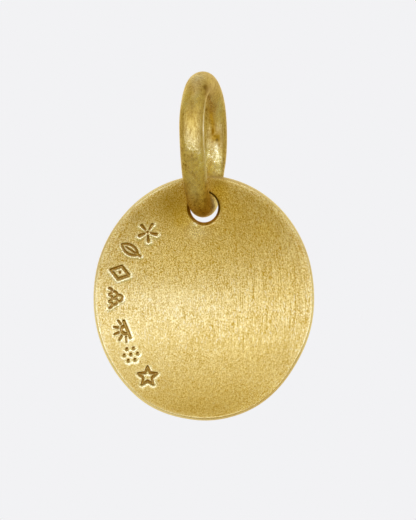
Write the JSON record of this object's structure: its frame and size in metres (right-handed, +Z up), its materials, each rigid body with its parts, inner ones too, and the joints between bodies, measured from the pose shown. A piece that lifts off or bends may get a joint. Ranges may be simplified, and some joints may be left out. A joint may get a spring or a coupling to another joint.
{
  "type": "medallion pendant",
  "caption": "Small oval gold medallion, slightly dished, hung through a bevelled hole on an egg-shaped ring of round wire.",
  "frame": {"origin": "underside of the top of the jump ring, where a chain or cord bears", "axes": "+Z up, front face of the medallion towards -Y, +X to the viewer's right"},
  "size_m": [0.0117, 0.006, 0.0186],
  "materials": {
    "ring_gold": "satin gold, lightly hammered and worn",
    "disc_gold": "brushed gold with punched ornaments"
  },
  "bodies": {
    "ring": {"jump_ring": "ring_gold"},
    "medallion": {"medallion_disc": "disc_gold"}
  },
  "joints": [
    {"name": "disc_swing", "type": "hinge", "parent": "ring", "child": "medallion", "pos_m": [0.00006, 0, -0.00587], "axis": [0, 1, 0], "range_deg": [-105, 105]}
  ]
}
